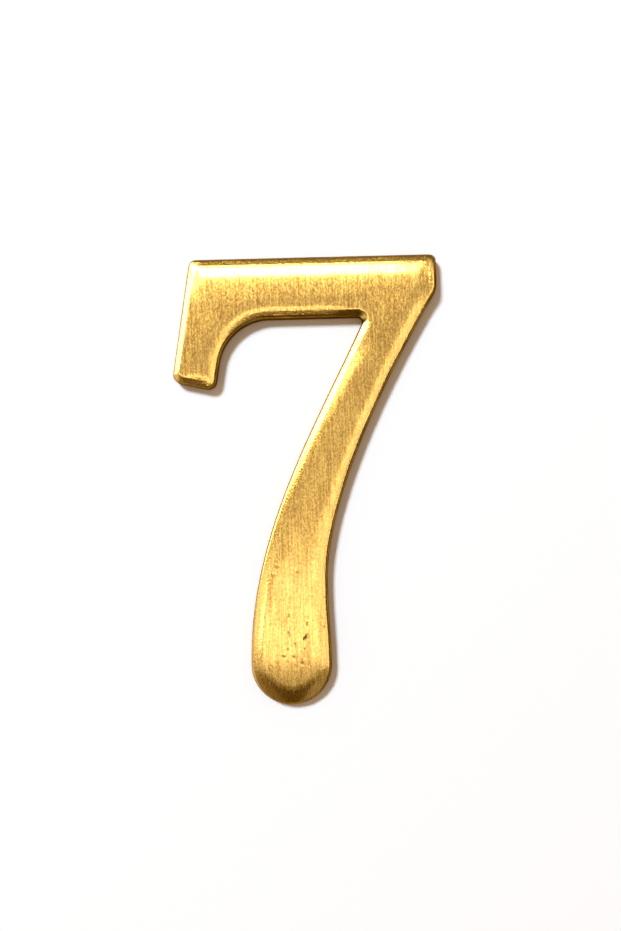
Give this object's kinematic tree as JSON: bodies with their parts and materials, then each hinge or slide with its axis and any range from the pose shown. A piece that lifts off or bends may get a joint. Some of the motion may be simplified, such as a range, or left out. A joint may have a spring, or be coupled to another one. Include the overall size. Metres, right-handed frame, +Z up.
{
  "type": "door number",
  "caption": "Door number in satin brass: the figure seven with a bracketed serif, a leaning stem on a round foot, a rolled front edge and a flat back for fixing to a door.",
  "frame": {"origin": "middle of the number's height and width, on the flat back face", "axes": "+Z up as the number is read, +X to the reader's right, +Y into the door, so the front looks along -Y"},
  "size_m": [0.0297, 0.0022, 0.05],
  "materials": {
    "brass": "satin, brushed"
  },
  "bodies": {
    "root": {"numeral": "brass"}
  },
  "joints": []
}
